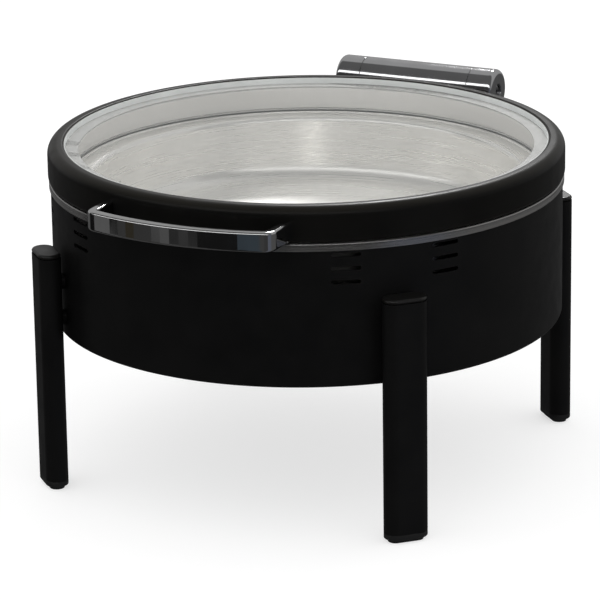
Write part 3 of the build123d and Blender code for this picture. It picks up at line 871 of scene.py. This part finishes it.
# ---------------------------------------------------------------------------------------------------------
# Glass. A flat 5 mm tempered disc let into the ring almost flush. Its edge is ground, so it is pale and matt
# there and is a piece of its own round the clear disc.
glass_ground = 0.0005
glass_radius = glass_high.x
clear_radius = glass_radius - glass_ground
glass = turned("glass_pane", [Vector(p) for p in (
    (0, glass_low.z), (clear_radius, glass_low.z), (clear_radius, glass_high.z), (0, glass_high.z)
)])
ground_edge = turned("glass_ground_edge", bent(
    (
        (clear_radius, glass_low.z), (glass_radius, glass_low.z),
        (glass_radius, glass_high.z), (clear_radius, glass_high.z),
    ),
    [0.8 * glass_ground, 0.8 * glass_ground], steps=4,
))
glass_clear, surface, make, place = finish("clear_tempered_glass")
surface.inputs["Base Color"].default_value = (0.90, 0.93, 0.92, 1)
surface.inputs["Alpha"].default_value = 0.05
surface.inputs["IOR"].default_value = 1.5
feed(glass_clear, surface, "Roughness", mottled(make, place, scale=12, low=0.02, high=0.06))
dress(glass, "lid", "clear_glass", "lid_glass", material=glass_clear)
ground_glass = moulded_plastic("ground_glass", (0.66, 0.68, 0.67), (0.74, 0.76, 0.75), rough=0.5)
dress(ground_edge, "lid", "clear_glass", "lid_glass", material=ground_glass)

# ---------------------------------------------------------------------------------------------------------
# Seals. Grey silicone: a ring of L section under the glass and round its edge, and a flat ring under the lid
# that the lid settles on.
grey_rubber = moulded_plastic("grey_silicone", (0.36, 0.36, 0.35), (0.41, 0.41, 0.395), rough=0.55)
seal_thickness = 0.001
seal_edge = seal_high.x
seal_top = seal_low.z + seal_thickness
seal_ring = turned("glass_seal_ring", [Vector(p) for p in (
    (seal_inside, seal_low.z), (seal_edge, seal_low.z), (seal_edge, seal_high.z),
    (glass_radius, seal_high.z), (glass_radius, seal_top), (seal_inside, seal_top),
)])
dress(seal_ring, "lid", "grey_silicone", "glass_seal", material=grey_rubber)
low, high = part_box("lid_seal")
lid_seal_width = 0.011
lid_seal_edge = 0.0008
rest_ring = turned("lid_seal_ring", rounded(
    (
        (high.x - lid_seal_width, low.z), (high.x, low.z), (high.x, high.z), (high.x - lid_seal_width, high.z)
    ), lid_seal_edge, steps=4,
))
dress(rest_ring, "lid", "grey_silicone", "lid_seal", material=grey_rubber)

# ---------------------------------------------------------------------------------------------------------
# Handle. One flat steel bar bent to a bow that follows the lid, with two short arms. Its edges are rounded,
# it is polished and chrome plated, and it is screwed on from inside the ring.
handle_thickness = 0.009
handle_corner = 0.012
handle_edge = 0.0024
handle_low, handle_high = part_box("lid_handle")
handle_radius = axis_y - handle_low.y
bow_radius = handle_radius - handle_thickness / 2
arm_x = handle_high.x - handle_thickness / 2
bow_steps = 20
bow_bend = 0.01
corner_steps = 12
least_step = 1e-5
bow_half = atan2(arm_x, sqrt(bow_radius**2 - arm_x**2))
arm_end = -sqrt((lid_radius - piece_lap) ** 2 - handle_high.x**2)

bow = [
    (bow_radius * sin(a), -bow_radius * cos(a))
    for a in (-bow_half + 2 * bow_half * step / bow_steps for step in range(bow_steps + 1))
]
corner = handle_corner - handle_thickness / 2
# The bow's own points get short bends, so that the bar shows no kinks there.
bends = [corner] + [bow_bend] * (bow_steps - 1) + [corner]
path = bent([(-arm_x, arm_end), *bow, (arm_x, arm_end)], bends, corner_steps)
handle_middle = (handle_low.z + handle_high.z) / 2
handle_half = (handle_high.z - handle_low.z) / 2
section = rounded(
    [
        (-handle_thickness / 2, -handle_half), (handle_thickness / 2, -handle_half),
        (handle_thickness / 2, handle_half), (-handle_thickness / 2, handle_half),
    ], handle_edge, steps=7,
)
bm = bmesh.new()
rings = []
for index, point in enumerate(path):
    before = path[max(index - 1, 0)]
    after = path[min(index + 1, len(path) - 1)]
    if index and (point - before).length < least_step:
        continue
    along = (after - before).normalized()
    across = Vector((along.y, -along.x))
    rings.append([
        bm.verts.new((point.x + across.x * u, axis_y + point.y + across.y * u, handle_middle + w))
        for u, w in section
    ])
for ring, other in zip(rings, rings[1:]):
    for index in range(len(section)):
        bm.faces.new((ring[index - 1], ring[index], other[index], other[index - 1]))
bm.faces.new(rings[0])
bm.faces.new(rings[-1])
handle = finish_mesh("handle_bar", bm)
handle_chrome = chrome("handle_chrome_plate", (0.62, 0.62, 0.62), rough=0.05)
dress(handle, "lid", "handle_chrome", "lid_handle", material=handle_chrome)

# ---------------------------------------------------------------------------------------------------------
# Hinge barrel. The middle of the hinge turns with the lid: a chrome plated casting whose saddle meets the
# ring's wall, with white nylon bushes in its bore.
saddle_width = 0.092
saddle_height = 0.018
barrel_bore = 0.013
bore_margin = 0.002
barrel_half = barrel_high.x
barrel_place = Matrix.Translation((0, hinge_centre.y, hinge_centre.z)) @ Matrix.Rotation(pi / 2, 4, "Y")
barrel = turned("hinge_barrel_chrome", rounded(
    (
        (barrel_bore, -barrel_half), (barrel_radius, -barrel_half),
        (barrel_radius, barrel_half), (barrel_bore, barrel_half),
    ), inner_edge, steps=3,
), knuckle_steps, barrel_place)
screw_low, screw_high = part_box("saddle_screws")
saddle_z = (screw_low.z + screw_high.z) / 2
saddle = block(
    "saddle",
    (-saddle_width / 2, barrel_low.y, saddle_z - saddle_height / 2),
    (saddle_width / 2, hinge_centre.y - barrel_bore - bore_margin, saddle_z + saddle_height / 2),
)
lid_space = turned("lid_space", [
    Vector(p) for p in ((0, 0), (lid_radius, 0), (lid_radius, 2 * lid_high.z), (0, 2 * lid_high.z))
])
cut(saddle, lid_space)
cut(barrel, saddle, "UNION")
dress(barrel, "lid", "hinge_chrome", "hinge_barrel", material=hinge_chrome)
nylon = moulded_plastic("white_nylon", (0.70, 0.69, 0.65), (0.78, 0.77, 0.73), rough=0.45)
wear(nylon, "hinge_bushes")
